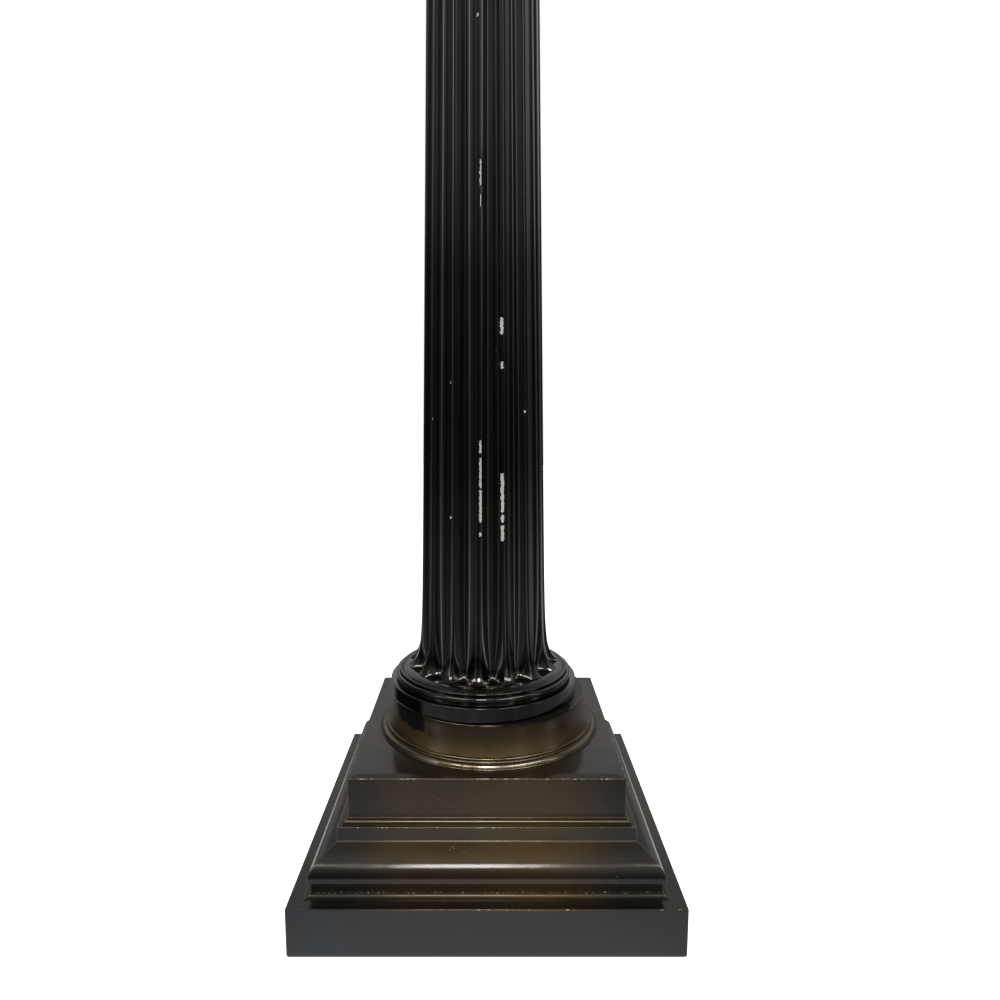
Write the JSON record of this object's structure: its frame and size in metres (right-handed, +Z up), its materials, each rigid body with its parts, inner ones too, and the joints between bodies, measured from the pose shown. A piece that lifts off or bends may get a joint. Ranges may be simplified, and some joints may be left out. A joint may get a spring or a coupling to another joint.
{
  "type": "ionic column",
  "caption": "Fluted ionic column with a scrolled capital, on a ringed collar, a bell-shaped foot and a stepped square plinth with an ogee moulding.",
  "frame": {"origin": "middle of the plinth's underside, on the ground", "axes": "+Z up along the column, -Y towards the side that the picture shows, X and Y along the sides of the square slab"},
  "size_m": [0.305, 0.305, 0.9569],
  "materials": {
    "dark_bronze": "satin dark brown patina, worn to a paler line on its edges",
    "black_lacquer": "high-gloss black-brown lacquer, chipped on some arrises"
  },
  "bodies": {
    "root": {"plinth": "dark_bronze", "bell_foot": "dark_bronze", "collar": "black_lacquer", "shaft": "black_lacquer", "capital": "black_lacquer"}
  },
  "joints": []
}
